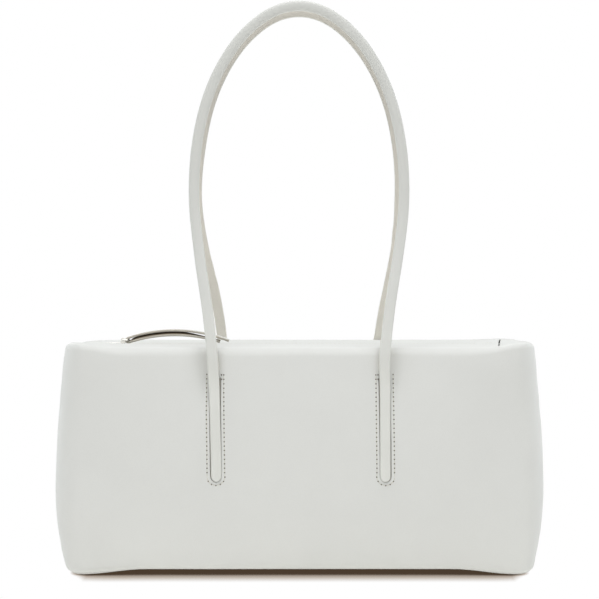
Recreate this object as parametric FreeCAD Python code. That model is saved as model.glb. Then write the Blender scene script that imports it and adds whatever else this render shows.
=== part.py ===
# Baguette bag: a soft box of white leather with a zip along the top and two slim shoulder handles.
# Millimetres, +Z up, +X to the right, front towards -Y. The origin is the middle of the underside.
import FreeCAD, Part
import math
import os

V = FreeCAD.Vector

# Body: a wall section swept round a rounded rectangle
body_width = 330.0
body_depth = 112.0
body_height = 154.0
bulge_height = 58.0
top_inset = 6.5
bottom_inset = 9.5
corner_radius = 20.0
rim_radius = 4.5
bottom_radius = 8.0
leather = 2.0

# Layers inside the leather
layer_gap = 0.2
board_thickness = 1.2
patch_thickness = 1.2
lining_thickness = 0.8
lining_top_drop = 9.0
pocket_width = 150.0
pocket_height = 74.0
pocket_drop = 32.0

# Top closure
end_flap_length = 9.4
facing_end_gap = 1.0
facing_edge_radius = 0.8
hinge_gap = 0.3
zip_opening = 14.0
tape_thickness = 0.6
tape_under_facing = 6.0
tape_end_margin = 1.5
seam_touch = 0.05

# Zip chain
tooth_pitch = 2.8
tooth_width = 1.1
tooth_reach = 0.9
bead_width = 1.2
chain_thickness = 2.4
chain_in_slider = 2.0
chain_end_margin = 3.5
top_stop_length = 2.4
end_tab_length = 20.0
end_tab_thickness = 1.2
bottom_stop_length = 3.0

# Zip slider at the closed end
slider_length = 14.0
slider_width = 9.0
slider_end_margin = 8.3
slider_plate = 1.3
slider_gap = 0.2
slider_flange = 0.8
slider_flange_drop = 0.7
wedge_length = 5.0
wedge_width = 3.0
wedge_setback = 1.0
crown_width = 2.6
crown_radius = 1.6
pull_running_gap = 0.08
pull_axis_rise = 2.4
pull_axis_lead = 5.3

# Zip pull: a wire ring and a leather strap folded through it
ring_wire_radius = 0.6
ring_half_width = 4.6
ring_length = 4.2
ring_corner = 1.5
strap_width = 7.5
strap_thickness = 1.5
strap_lift = 0.2
strap_slope = 18.0
upper_leaf_length = 70.3
lower_leaf_length = 63.6
leaf_crest_share = 0.5
upper_crest_rise = 7.5
lower_crest_rise = 2.8
upper_end_rise = 0.2
lower_end_drop = 1.9

# Handles
handle_width = 7.2
face_thickness = 2.3
backing_thickness = 1.8
bond_line = 0.05
leg_spacing = 113.0
bend_drop = 19.0
leg_standoff = 0.1
tongue_length = 70.0
tongue_width = 7.0
tongue_proud = 0.8
slot_gap = 0.3
patch_margin = 6.0
tongue_gap = 0.3

handle_gap = 22.0

# Route of one handle from its bend to the crown: spread beyond the leg, share of the lean towards the
# other handle, rise above the bend
handle_route = [
    (1.1, 0.007, 17.0),
    (5.0, 0.220, 48.0),
    (12.1, 0.570, 85.0),
    (16.6, 0.770, 121.0),
    (14.1, 0.865, 162.0),
    (4.1, 0.932, 200.0),
    (-15.2, 0.977, 233.0),
    (-41.9, 1.0, 253.4),
]
arc_share = 0.45

# Derived places
straight_x = body_width / 2 - corner_radius
straight_y = body_depth / 2 - corner_radius
wall_rise = body_height - bulge_height
upper_radius = (wall_rise ** 2 + top_inset ** 2) / (2 * top_inset)
lower_radius = (bulge_height ** 2 + bottom_inset ** 2) / (2 * bottom_inset)
upper_centre = corner_radius - upper_radius
lower_centre = corner_radius - lower_radius
lining_offset = leather + layer_gap + max(board_thickness, patch_thickness) + layer_gap
leg_x = leg_spacing / 2
half_handle = (face_thickness + bond_line + backing_thickness) / 2
hinge_height = body_height - bend_drop
tongue_bottom = hinge_height - tongue_length
pocket_top = body_height - pocket_drop
pocket_bottom = pocket_top - pocket_height
facing_inner = zip_opening / 2
tape_top = body_height - leather
tape_bottom = tape_top - tape_thickness
chain_mid = tape_top - tape_thickness / 2
chain_top = chain_mid + chain_thickness / 2
chain_bottom = chain_mid - chain_thickness / 2
bead_inner = tooth_reach + 0.1
bead_outer = bead_inner + bead_width
pull_axis_z = body_height + pull_axis_rise


def fillet_centre(arc_centre, arc_radius, radius, level):
    # Centre, in the wall section, of a rounding inside a large arc at the given level
    return arc_centre + math.sqrt((arc_radius - radius) ** 2 - (level - bulge_height) ** 2)


rim_level = body_height - rim_radius
rim_centre = fillet_centre(upper_centre, upper_radius, rim_radius, rim_level)
foot_centre = fillet_centre(lower_centre, lower_radius, bottom_radius, bottom_radius)
mouth_half_x = straight_x + rim_centre
mouth_half_y = straight_y + rim_centre
flap_edge = mouth_half_x - end_flap_length
facing_end = flap_edge - facing_end_gap
facing_length = 2 * facing_end
slider_start = -facing_end + slider_end_margin
chain_start = slider_start + slider_length - chain_in_slider
chain_end = flap_edge - end_tab_length - chain_end_margin
pull_axis_x = slider_start + slider_length / 2 + pull_axis_lead


def wall_at(level, inset):
    # How far the wall stands out from the corner axis at a level, counted inward by inset
    if level >= bulge_height:
        return upper_centre + math.sqrt((upper_radius - inset) ** 2 - (level - bulge_height) ** 2)
    return lower_centre + math.sqrt((lower_radius - inset) ** 2 - (level - bulge_height) ** 2)


def arc(place, start, middle, end):
    return Part.Arc(place(*start), place(*middle), place(*end)).toShape()


def line(place, start, end):
    return Part.makeLine(place(*start), place(*end))


def on_circle(centre, radius, angle):
    return (centre[0] + radius * math.cos(angle), centre[1] + radius * math.sin(angle))


def wall_arcs(place, inset, low, high):
    # The wall's own arcs between two levels, from the lower one up
    edges = []
    levels = [low, high]
    if low < bulge_height < high:
        levels = [low, bulge_height, high]
    for start, end in zip(levels[:-1], levels[1:]):
        middle = (start + end) / 2
        points = [(wall_at(level, inset), level) for level in (start, middle, end)]
        edges.append(arc(place, *points))
    return edges


def tangent_level(arc_centre, arc_radius, rounding_centre, level, inset):
    # Level at which a rounding runs into the large arc
    share = (arc_radius - inset) / math.hypot(rounding_centre - arc_centre, level - bulge_height)
    return bulge_height + (level - bulge_height) * share


def full_chain(place, inset, with_rim):
    # One side of the wall section: foot rounding, wall arcs and, where asked for, the rim rounding
    foot = (foot_centre, bottom_radius)
    foot_turn = math.atan2(bottom_radius - bulge_height, foot_centre - lower_centre)
    foot_radius = bottom_radius - inset
    low = tangent_level(lower_centre, lower_radius, foot_centre, bottom_radius, inset)
    start = -math.pi / 2
    edges = [arc(place, *[on_circle(foot, foot_radius, a)
                          for a in (start, (start + foot_turn) / 2, foot_turn)])]
    if not with_rim:
        return edges + wall_arcs(place, inset, low, body_height - lining_top_drop)
    rim = (rim_centre, rim_level)
    rim_turn = math.atan2(rim_level - bulge_height, rim_centre - upper_centre)
    high = tangent_level(upper_centre, upper_radius, rim_centre, rim_level, inset)
    edges += wall_arcs(place, inset, low, high)
    end = math.pi / 2
    edges.append(arc(place, *[on_circle(rim, rim_radius - inset, a)
                              for a in (rim_turn, (rim_turn + end) / 2, end)]))
    return edges


def band_face(place, outer, inner, low=None, high=None, with_rim=True):
    # Closed section of a layer that follows the wall between two insets
    if low is None:
        outside = full_chain(place, outer, with_rim)
        inside = full_chain(place, inner, with_rim)
    else:
        outside = wall_arcs(place, outer, low, high)
        inside = wall_arcs(place, inner, low, high)
    ends = [Part.makeLine(outside[0].Vertexes[0].Point, inside[0].Vertexes[0].Point),
            Part.makeLine(outside[-1].Vertexes[-1].Point, inside[-1].Vertexes[-1].Point)]
    wire = Part.Wire(Part.__sortEdges__(outside + inside + ends))
    return Part.Face(wire)


def front_place(x):
    return lambda out, level: V(x, -(straight_y + out), level)


def right_place(y):
    return lambda out, level: V(straight_x + out, y, level)


def fuse(shapes):
    return shapes[0].multiFuse(shapes[1:]).removeSplitter()


def flip_y(shape):
    return shape.mirror(V(0, 0, 0), V(0, 1, 0))


def flip_x(shape):
    return shape.mirror(V(0, 0, 0), V(1, 0, 0))


def front_with_corners(outer, inner, with_rim=True):
    # A front layer with the two quarter-round corners it turns into
    face = band_face(front_place(-straight_x), outer, inner, with_rim=with_rim)
    straight = face.extrude(V(2 * straight_x, 0, 0))
    corner = band_face(front_place(straight_x), outer, inner, with_rim=with_rim)
    right = corner.revolve(V(straight_x, -straight_y, 0), V(0, 0, 1), 90)
    return [straight, right, flip_x(right)]


def end_wall(outer, inner, with_rim=True):
    face = band_face(right_place(-straight_y), outer, inner, with_rim=with_rim)
    return face.extrude(V(0, 2 * straight_y, 0))


def rounded_plate(half_x, half_y, radius, low, high):
    plate = Part.makeBox(2 * half_x, 2 * half_y, high - low, V(-half_x, -half_y, low))
    uprights = [e for e in plate.Edges if abs(e.Vertexes[0].Z - e.Vertexes[1].Z) > (high - low) / 2]
    return plate.makeFillet(radius, uprights)


def slot_prism(width, low, high, depth_low, depth_high, x):
    # Upright slot outline with a half-round foot, run through in depth
    half = width / 2
    start = V(x - half, depth_low, low + half)
    corner = V(x + half, depth_low, low + half)
    top_right = V(x + half, depth_low, high)
    top_left = V(x - half, depth_low, high)
    foot = Part.Arc(start, V(x, depth_low, low), corner).toShape()
    sides = [Part.makeLine(corner, top_right), Part.makeLine(top_right, top_left),
             Part.makeLine(top_left, start)]
    face = Part.Face(Part.Wire([foot] + sides))
    return face.extrude(V(0, depth_high - depth_low, 0))


def front_panel():
    panel = fuse(front_with_corners(0, leather))
    width = tongue_width + 2 * slot_gap
    low = tongue_bottom - slot_gap
    for x in (-leg_x, leg_x):
        panel = panel.cut(slot_prism(width, low, hinge_height, -body_depth, 0, x))
    return panel


def gusset():
    # End panel whose top is turned in flat up to the ends of the zip facings
    plate = rounded_plate(mouth_half_x, mouth_half_y, rim_centre, body_height - leather, body_height)
    keep = Part.makeBox(body_width, body_depth, body_height, V(flap_edge, -body_depth / 2, 0))
    return fuse([end_wall(0, leather), plate.common(keep)])


def base_panel():
    return rounded_plate(straight_x + foot_centre, straight_y + foot_centre, foot_centre, 0, leather)


def base_board():
    low = leather + layer_gap
    return rounded_plate(straight_x + foot_centre, straight_y + foot_centre, foot_centre,
                         low, low + board_thickness)


def lining():
    outer = lining_offset
    inner = lining_offset + lining_thickness
    front = front_with_corners(outer, inner, with_rim=False)
    right = end_wall(outer, inner, with_rim=False)
    floor = rounded_plate(straight_x + foot_centre, straight_y + foot_centre, foot_centre, outer, inner)
    return fuse(front + [flip_y(s) for s in front] + [right, flip_x(right), floor])


def slip_pocket():
    outer = lining_offset + lining_thickness + layer_gap
    face = band_face(front_place(-pocket_width / 2), outer, outer + lining_thickness,
                     pocket_bottom, pocket_top)
    return flip_y(face.extrude(V(pocket_width, 0, 0)))


def anchor_patch():
    # Reinforcement sewn behind a handle slot
    width = tongue_width + 2 * patch_margin
    outer = leather + layer_gap / 2
    face = band_face(front_place(leg_x - width / 2), outer, outer + patch_thickness,
                     tongue_bottom - patch_margin, hinge_height + patch_margin)
    return face.extrude(V(width, 0, 0))


def leg_out():
    # Distance of the bend in the handle from the corner axis
    return wall_at(hinge_height, 0) + leg_standoff + half_handle


def bend_round(x, width, radius):
    # Round of the handle's bend, across its width
    start = V(x - width / 2, -(straight_y + leg_out()), hinge_height)
    return Part.makeCylinder(radius, width, start, V(1, 0, 0))


def handle_tongue():
    # Flat end of a handle, inlaid in the slot and hollowed at the top round the bend
    face = band_face(front_place(leg_x - tongue_width / 2), -tongue_proud, leather,
                     tongue_bottom, hinge_height - tongue_gap)
    strip = face.extrude(V(tongue_width, 0, 0))
    strip = strip.common(slot_prism(tongue_width, tongue_bottom, hinge_height, -body_depth, 0, leg_x))
    return strip.cut(bend_round(leg_x, 2 * tongue_width, half_handle + tongue_gap))


def shifted_route(place, points, shift):
    # Straight runs joined by tangent arcs, each as large as its two runs allow, all moved sideways by shift
    def left_of(direction):
        return V(-direction.y, direction.x, 0) * (shift / direction.Length)

    edges = []
    start = points[0] + left_of(points[1] - points[0])
    for before, corner, after in zip(points[:-2], points[1:-1], points[2:]):
        back = before - corner
        ahead = after - corner
        reach = arc_share * min(back.Length, ahead.Length)
        back.normalize()
        ahead.normalize()
        half_turn = (math.pi - back.getAngle(ahead)) / 2
        inward = back + ahead
        inward.normalize()
        sagitta = reach / math.tan(half_turn) * (1 / math.cos(half_turn) - 1)
        enter = corner + back * reach + left_of(back * -1)
        middle = corner + inward * sagitta + left_of(ahead - back)
        leave = corner + ahead * reach + left_of(ahead)
        edges.append(line(place, (start.x, start.y), (enter.x, enter.y)))
        edges.append(arc(place, (enter.x, enter.y), (middle.x, middle.y), (leave.x, leave.y)))
        start = leave
    finish = points[-1] + left_of(points[-1] - points[-2])
    edges.append(line(place, (start.x, start.y), (finish.x, finish.y)))
    return edges


def route_face(place, points, low, high):
    near = shifted_route(place, points, low)
    far = shifted_route(place, points, high)
    ends = [Part.makeLine(near[0].Vertexes[0].Point, far[0].Vertexes[0].Point),
            Part.makeLine(near[-1].Vertexes[-1].Point, far[-1].Vertexes[-1].Point)]
    return Part.Face(Part.Wire(Part.__sortEdges__(near + far + ends)))


def handle_layer(low, high):
    # One leather layer of a handle: the arch seen from the front met with the lean seen from the side
    foot_y = -(straight_y + leg_out())
    lean = -handle_gap / 2 - foot_y
    rises = [(0.0, 0.0, 0.0)] + handle_route
    right = [V(leg_x + spread, hinge_height + rise, 0) for spread, share, rise in rises]
    arch = right + [V(-p.x, p.y, 0) for p in reversed(right)]
    side = [V(foot_y + share * lean, hinge_height + rise, 0) for spread, share, rise in rises]
    last_run = side[-1] - side[-2]
    side[-1] = side[-1] + last_run * (handle_width / last_run.Length)
    half = handle_width / 2
    band = route_face(lambda x, z: V(x, -body_depth, z), arch, -half, half)
    sheet = route_face(lambda y, z: V(-body_width / 2, y, z), side, -high, -low)
    return band.extrude(V(0, body_depth, 0)).common(sheet.extrude(V(body_width, 0, 0)))


def handle_strap():
    # Outer leather of a handle with the round of the bend at both ends
    bends = [bend_round(x, handle_width, half_handle) for x in (leg_x, -leg_x)]
    return fuse([handle_layer(-half_handle, face_thickness - half_handle)] + bends)


def handle_backing():
    # Inner leather, bonded to the outer one from just above the bends
    below = Part.makeBox(body_width, body_depth, hinge_height + half_handle + bond_line,
                         V(-body_width / 2, -body_depth, 0))
    return handle_layer(half_handle - backing_thickness, half_handle).cut(below)


def top_facing():
    # Leather strip from the front rim to the zip
    outer = mouth_half_y - hinge_gap
    strip = Part.makeBox(facing_length, outer - facing_inner, leather,
                         V(-facing_end, -outer, body_height - leather))
    turned = [e for e in strip.Edges if e.BoundBox.YMin > -facing_inner - hinge_gap and e.Length > outer]
    return strip.makeFillet(facing_edge_radius, turned)


def zip_tape():
    outer = facing_inner + tape_under_facing
    inner = bead_outer + seam_touch
    length = facing_length - 2 * tape_end_margin
    return Part.makeBox(length, outer - inner, tape_thickness, V(-length / 2, -outer, tape_bottom))


def tooth_row(shift):
    # Rack of teeth on a bead; the other side's teeth stand half a pitch along
    first = chain_start + shift
    count = int((chain_end - first) / tooth_pitch)
    points = [V(chain_start, -bead_outer, chain_bottom), V(chain_start, -bead_inner, chain_bottom)]
    for k in range(count):
        x = first + k * tooth_pitch
        points += [V(x, -bead_inner, chain_bottom), V(x, tooth_reach, chain_bottom),
                   V(x + tooth_width, tooth_reach, chain_bottom),
                   V(x + tooth_width, -bead_inner, chain_bottom)]
    points += [V(chain_end, -bead_inner, chain_bottom), V(chain_end, -bead_outer, chain_bottom)]
    face = Part.Face(Part.makePolygon(points + points[:1]))
    return face.extrude(V(0, 0, chain_thickness))


def top_stop():
    # Small clamp on the edge of one tape, past the closed slider
    start = -facing_end + tape_end_margin
    inner = bead_inner / 2
    outer = bead_outer + bead_width
    block = Part.makeBox(top_stop_length, outer - inner, chain_thickness, V(start, -outer, chain_bottom))
    room = Part.makeBox(top_stop_length, outer - bead_outer, tape_thickness + 2 * seam_touch,
                        V(start, -outer, tape_bottom - seam_touch))
    return block.cut(room)


def end_tab():
    # Leather tab over the open end of the zip
    half = facing_inner - hinge_gap
    low = body_height - end_tab_thickness
    start = flap_edge - end_tab_length
    return Part.makeBox(end_tab_length, 2 * half, end_tab_thickness, V(start, -half, low))


def bottom_stop():
    # Clamp that holds the two tapes together under the end tab
    start = flap_edge - end_tab_length
    high = body_height - end_tab_thickness - seam_touch
    web = Part.makeBox(bottom_stop_length, 2 * bead_inner, high - chain_bottom,
                       V(start, -bead_inner, chain_bottom))
    half = bead_outer + bead_width
    above = Part.makeBox(bottom_stop_length, 2 * half, high - tape_top - seam_touch,
                         V(start, -half, tape_top + seam_touch))
    below = Part.makeBox(bottom_stop_length, 2 * half, tape_bottom - seam_touch - chain_bottom,
                         V(start, -half, chain_bottom))
    return fuse([web, above, below])


def slider_outline(low, high):
    # Plate that is round at the throat and square at the tail
    half = slider_width / 2
    end = slider_start + slider_length
    shoulder = slider_start + half
    points = [V(shoulder, half, low), V(end, half, low), V(end, -half, low), V(shoulder, -half, low)]
    sides = [Part.makeLine(a, b) for a, b in zip(points[:-1], points[1:])]
    nose = Part.Arc(points[-1], V(slider_start, 0, low), points[0]).toShape()
    return Part.Face(Part.Wire(sides + [nose])).extrude(V(0, 0, high - low))


def zip_slider():
    # Two plates joined by a wedge, with flanges over the chain and a crown for the pull
    high = chain_top + slider_gap
    low = chain_bottom - slider_gap
    whole = slider_outline(low - slider_plate, high + slider_plate)
    half = slider_width / 2
    throat = Part.makeBox(slider_length, slider_width - 2 * slider_flange, high - low,
                          V(slider_start, slider_flange - half, low))
    slot_low = low + slider_flange_drop
    slot = Part.makeBox(slider_length, slider_width, high - low - 2 * slider_flange_drop,
                        V(slider_start, -half, slot_low))
    body = whole.cut(throat).cut(slot)
    wedge = Part.makeBox(wedge_length, wedge_width, high - low,
                         V(slider_start + wedge_setback, -wedge_width / 2, low))
    axis_point = V(pull_axis_x, -crown_width / 2, pull_axis_z)
    lug = Part.makeCylinder(crown_radius, crown_width, axis_point, V(0, 1, 0))
    foot = Part.makeBox(2 * crown_radius, crown_width, pull_axis_z - high,
                        V(pull_axis_x - crown_radius, -crown_width / 2, high))
    hole = Part.makeCylinder(ring_wire_radius + pull_running_gap, crown_width, axis_point, V(0, 1, 0))
    return fuse([body, wedge, lug, foot]).cut(hole)


def pull_ring():
    # Rounded wire ring, one bar in the crown and one in the fold of the strap
    near = pull_axis_x
    far = near + ring_length
    side = ring_half_width
    edge = ring_corner
    turn = ring_corner * (1 - math.sqrt(0.5))

    def place(x, y):
        return V(x, y, pull_axis_z)

    edges = [line(place, (near, 0), (near, edge - side)),
             arc(place, (near, edge - side), (near + turn, turn - side), (near + edge, -side)),
             line(place, (near + edge, -side), (far - edge, -side)),
             arc(place, (far - edge, -side), (far - turn, turn - side), (far, edge - side)),
             line(place, (far, edge - side), (far, side - edge)),
             arc(place, (far, side - edge), (far - turn, side - turn), (far - edge, side)),
             line(place, (far - edge, side), (near + edge, side)),
             arc(place, (near + edge, side), (near + turn, side - turn), (near, side - edge)),
             line(place, (near, side - edge), (near, 0))]
    section = Part.Wire(Part.makeCircle(ring_wire_radius, place(near, 0), V(0, -1, 0)))
    return Part.Wire(edges).makePipeShell([section], True, False)


def pull_strap():
    # Leather strip folded round the ring, its two leaves arched one over the other with free ends
    fold_x = pull_axis_x + ring_length
    inner = ring_wire_radius + strap_lift
    outer = inner + strap_thickness
    slope = math.radians(strap_slope)
    end_across = strap_thickness * math.sin(slope)
    end_down = strap_thickness * math.cos(slope)

    def place(x, z):
        return V(x, -strap_width / 2, z)

    def on_fold(radius, turn):
        return (fold_x + radius * math.cos(turn), pull_axis_z + radius * math.sin(turn))

    up = math.pi / 2 + slope
    down = 3 * math.pi / 2 + slope
    over = (up + down) / 2
    upper_x = fold_x + leaf_crest_share * upper_leaf_length
    upper_z = pull_axis_z + upper_crest_rise
    lower_x = fold_x + leaf_crest_share * lower_leaf_length
    lower_z = pull_axis_z + lower_crest_rise
    upper_end = (fold_x + upper_leaf_length, pull_axis_z + upper_end_rise)
    upper_under = (upper_end[0] - end_across, upper_end[1] - end_down)
    lower_end = (fold_x + lower_leaf_length, pull_axis_z - lower_end_drop)
    lower_over = (lower_end[0] + end_across, lower_end[1] + end_down)
    edges = [arc(place, on_fold(outer, down), on_fold(outer, over), on_fold(outer, up)),
             arc(place, on_fold(outer, up), (upper_x, upper_z), upper_end),
             line(place, upper_end, upper_under),
             arc(place, upper_under, (upper_x, upper_z - strap_thickness), on_fold(inner, up)),
             arc(place, on_fold(inner, up), on_fold(inner, over), on_fold(inner, down)),
             arc(place, on_fold(inner, down), (lower_x, lower_z + strap_thickness), lower_over),
             line(place, lower_over, lower_end),
             arc(place, lower_end, (lower_x, lower_z), on_fold(outer, down))]
    return Part.Face(Part.Wire(edges)).extrude(V(0, strap_width, 0))


def build_nodes():
    nodes = {
        "front_panel": front_panel(),
        "right_gusset": gusset(),
        "base_panel": base_panel(),
        "base_board": base_board(),
        "lining": lining(),
        "slip_pocket": slip_pocket(),
        "zip_end_tab": end_tab(),
        "zip_bottom_stop": bottom_stop(),
        "front_top_facing": top_facing(),
        "front_zip_tape": zip_tape(),
        "front_zip_teeth": tooth_row(0),
        "back_zip_teeth": flip_y(tooth_row(tooth_pitch / 2)),
        "front_zip_stop": top_stop(),
        "zip_slider": zip_slider(),
        "zip_pull_ring": pull_ring(),
        "zip_pull_strap": pull_strap(),
        "front_handle_strap": handle_strap(),
        "front_handle_backing": handle_backing(),
        "front_right_anchor_patch": anchor_patch(),
        "front_right_handle_tongue": handle_tongue(),
    }
    nodes["left_gusset"] = flip_x(nodes["right_gusset"])
    for piece in ("anchor_patch", "handle_tongue"):
        nodes["front_left_" + piece] = flip_x(nodes["front_right_" + piece])
    fronts = [name for name in nodes if name.startswith("front_") and not name.endswith("_teeth")]
    for name in fronts:
        nodes[name.replace("front_", "back_", 1)] = flip_y(nodes[name])
    return nodes


os.makedirs("parts", exist_ok=True)
for name, shape in build_nodes().items():
    shape.exportStep(os.path.join("parts", name + ".step"))
    print(name, "solids", len(shape.Solids), "valid", shape.isValid(), "volume", round(shape.Volume, 1))
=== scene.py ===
import bmesh
import bpy
from math import atan2, copysign, cos, exp, hypot, pi, radians, sin, sqrt
from mathutils import Matrix, Vector, noise


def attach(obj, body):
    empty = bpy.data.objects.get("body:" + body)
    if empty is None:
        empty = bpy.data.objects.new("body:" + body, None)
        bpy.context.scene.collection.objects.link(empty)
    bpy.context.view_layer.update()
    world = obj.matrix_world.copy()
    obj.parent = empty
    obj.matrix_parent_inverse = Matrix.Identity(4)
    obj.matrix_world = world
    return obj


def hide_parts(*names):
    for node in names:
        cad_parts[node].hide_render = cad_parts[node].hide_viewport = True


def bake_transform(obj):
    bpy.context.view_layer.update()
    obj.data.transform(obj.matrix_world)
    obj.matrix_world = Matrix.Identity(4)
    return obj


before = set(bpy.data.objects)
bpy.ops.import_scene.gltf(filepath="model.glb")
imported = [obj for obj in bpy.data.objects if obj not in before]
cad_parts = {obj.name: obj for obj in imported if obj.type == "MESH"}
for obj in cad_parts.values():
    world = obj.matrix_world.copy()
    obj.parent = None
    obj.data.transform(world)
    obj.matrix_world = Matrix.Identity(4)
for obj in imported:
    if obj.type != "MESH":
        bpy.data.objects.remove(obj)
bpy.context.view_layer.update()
mm = 0.001
bothSides = (("front", -1), ("back", 1))
xWay, yWay, zWay = Matrix.Identity(3)


def inMm(**sizes):
    # sizes written in millimetres, as metres
    def metres(size):
        if isinstance(size, dict):
            return {end: metres(part) for end, part in size.items()}
        return tuple(metres(part) for part in size) if isinstance(size, tuple) else size * mm
    return {name: metres(size) for name, size in sizes.items()}


def addObject(name, data):
    added = bpy.data.objects.new(name, data)
    bpy.context.scene.collection.objects.link(added)
    return added


def meshFrom(name, bm):
    mesh = bpy.data.meshes.new(name)
    bm.to_mesh(mesh)
    bm.free()
    return mesh


def finalMesh(thing):
    return bpy.data.meshes.new_from_object(thing.evaluated_get(bpy.context.evaluated_depsgraph_get()))


# camera where the photograph was taken from
shot = {"place": (0.0003, -1.004, 0.216), "tilt": 1.781, "lens": 86.03, "sensor": 36}

cameraData = bpy.data.cameras.new("shotCamera")
cameraData.lens = shot["lens"]
cameraData.sensor_width = shot["sensor"]
camera = addObject("shotCamera", cameraData)
camera.location = shot["place"]
camera.rotation_euler = (radians(90 - shot["tilt"]), 0, 0)
bpy.context.scene.camera = camera
bpy.context.scene.view_settings.view_transform = "Standard"


# soft boxes of a small product studio: place, height aimed at, size, watts and tone
neutral, cool = (1, 1, 1), (0.88, 0.95, 1)
softBoxes = {
    "overheadBox": ((0, -0.38, 1.74), 0.1, (2.4, 1.6), 35.5, neutral),
    "frontBox": ((0, -2.7, 0.6), 0.12, (1.8, 1.6), 8.5, neutral),
    "leftBox": ((-1.55, 0.85, 0.45), 0.12, (1, 1.2), 8.5, cool),
    "rightBox": ((1.55, 0.85, 0.45), 0.12, (1, 1.2), 8.5, cool),
    "backBox": ((0, 1.9, 1), 0.15, (2, 1.2), 6, neutral),
}

for name, (place, aim, size, watts, tone) in softBoxes.items():
    lampData = bpy.data.lights.new(name, "AREA")
    lampData.shape = "RECTANGLE"
    lampData.size, lampData.size_y = size
    lampData.energy = watts
    lampData.color = tone
    lamp = addObject(name, lampData)
    lamp.location = place
    lamp.rotation_euler = (Vector((0, 0, aim)) - Vector(place)).to_track_quat("-Z", "Y").to_euler()
print("camera and", len(softBoxes), "soft boxes set")


def tint(red, green, blue):
    # screen colour to linear light
    linear = [c / 3294.6 if c < 10.3 else ((c / 255 + 0.055) / 1.055) ** 2.4 for c in (red, green, blue)]
    return (*linear, 1.0)


def putNode(tree, kind, inputs=None, **settings):
    node = tree.nodes.new("ShaderNode" + kind)
    for name, value in settings.items():
        setattr(node, name, value)
    for name, value in (inputs or {}).items():
        if isinstance(value, bpy.types.NodeSocket):
            tree.links.new(value, node.inputs[name])
        else:
            node.inputs[name].default_value = value
    return node


def combine(tree, first, second, kind="ADD"):
    return putNode(tree, "Math", {0: first, 1: second}, operation=kind).outputs[0]


def spread(tree, value, fromLow, fromHigh, toLow=0.0, toHigh=1.0):
    inputs = {0: value, 1: fromLow, 2: fromHigh, 3: toLow, 4: toHigh}
    return putNode(tree, "MapRange", inputs).outputs[0]


def mixTints(tree, share, first, second):
    return putNode(tree, "Mix", {0: share, 6: first, 7: second}, data_type="RGBA").outputs[2]


def noiseOf(tree, place, scale, detail, **inputs):
    inputs.update({"Vector": place, "Scale": scale, "Detail": detail})
    return putNode(tree, "TexNoise", inputs).outputs[0]


def placeOf(tree):
    return putNode(tree, "TexCoord").outputs["Object"]


def axesOf(tree, place):
    return putNode(tree, "SeparateXYZ", {0: place}).outputs


def mixByRays(tree, lit, seen):
    # camera, mirror and see-through rays get the seen shader: the plain white background, or on the floor its
    # painted shadow
    rays = putNode(tree, "LightPath").outputs
    share = combine(tree, rays["Is Camera Ray"], rays["Is Glossy Ray"], "MAXIMUM")
    share = combine(tree, share, rays["Is Transmission Ray"], "MAXIMUM")
    return putNode(tree, "MixShader", {0: share, 1: lit, 2: seen}).outputs[0]


# white studio, and a floor whose camera colour is white with a painted shadow close under the bag
studio = {"ambient": (0.93, 0.96, 1.0, 1.0), "level": 0.12, "white": (1, 1, 1, 1),
          "floorSize": 6, "floorGlow": 0.33, "floorTint": tint(238, 237, 234),
          "shadowReach": 28 * mm, "shadowRays": 24, "shadowEnd": (0.143, 0.170),
          "shadowCore": (0.18, tint(74, 60, 47)), "shadowFade": (0.46, tint(184, 172, 160)),
          "shadowEdge": 0.80}

world = bpy.data.worlds.new("whiteStudio")
world.use_nodes = True
bpy.context.scene.world = world
tree = world.node_tree
tree.nodes.clear()
lit = putNode(tree, "Background", {"Color": studio["ambient"], "Strength": studio["level"]})
seen = putNode(tree, "Background", {"Color": studio["white"], "Strength": 1})
putNode(tree, "OutputWorld", {"Surface": mixByRays(tree, lit.outputs[0], seen.outputs[0])})

floorFinish = bpy.data.materials.new("studioFloor")
floorFinish.use_nodes = True
floorFinish.cycles.emission_sampling = "NONE"
tree = floorFinish.node_tree
tree.nodes.clear()
# painted shadow: ambient occlusion near the bag, faded out past its ends, sets the floor's colour for camera
# rays
closeness = putNode(tree, "AmbientOcclusion", {"Distance": studio["shadowReach"]},
                    samples=studio["shadowRays"])
across = combine(tree, axesOf(tree, placeOf(tree))[0], 0.0, "ABSOLUTE")
clearness = combine(tree, closeness.outputs["AO"], spread(tree, across, *studio["shadowEnd"]))
shadow = putNode(tree, "ValToRGB", {"Fac": clearness})
stops = shadow.color_ramp.elements
stops[0].position, stops[0].color = studio["shadowCore"]
stops[1].position, stops[1].color = studio["shadowEdge"], studio["white"]
stops.new(studio["shadowFade"][0]).color = studio["shadowFade"][1]
seen = putNode(tree, "Emission", {"Color": shadow.outputs["Color"], "Strength": 1})
plain = putNode(tree, "BsdfDiffuse", {"Color": studio["floorTint"]})
glow = putNode(tree, "Emission", {"Color": studio["floorTint"], "Strength": studio["floorGlow"]})
lit = putNode(tree, "AddShader", {0: plain.outputs[0], 1: glow.outputs[0]})
putNode(tree, "OutputMaterial", {"Surface": mixByRays(tree, lit.outputs[0], seen.outputs[0])})

bm = bmesh.new()
bmesh.ops.create_grid(bm, x_segments=1, y_segments=1, size=studio["floorSize"] / 2)
floor = addObject("studioFloor", meshFrom("studioFloor", bm))
floor.data.materials.append(floorFinish)
print("floor staged")


# effects that several finishes share, each with a count per metre
def makeGroup(name, count, usual, outputs):
    group = bpy.data.node_groups.new(name, "ShaderNodeTree")
    group.interface.new_socket("Vector", in_out="INPUT", socket_type="NodeSocketVector")
    group.interface.new_socket(count, in_out="INPUT", socket_type="NodeSocketFloat").default_value = usual
    for label in outputs:
        group.interface.new_socket(label, in_out="OUTPUT", socket_type="NodeSocketFloat")
    given = group.nodes.new("NodeGroupInput").outputs
    gives = group.nodes.new("NodeGroupOutput").inputs
    return group, given["Vector"], given[count], gives


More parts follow.
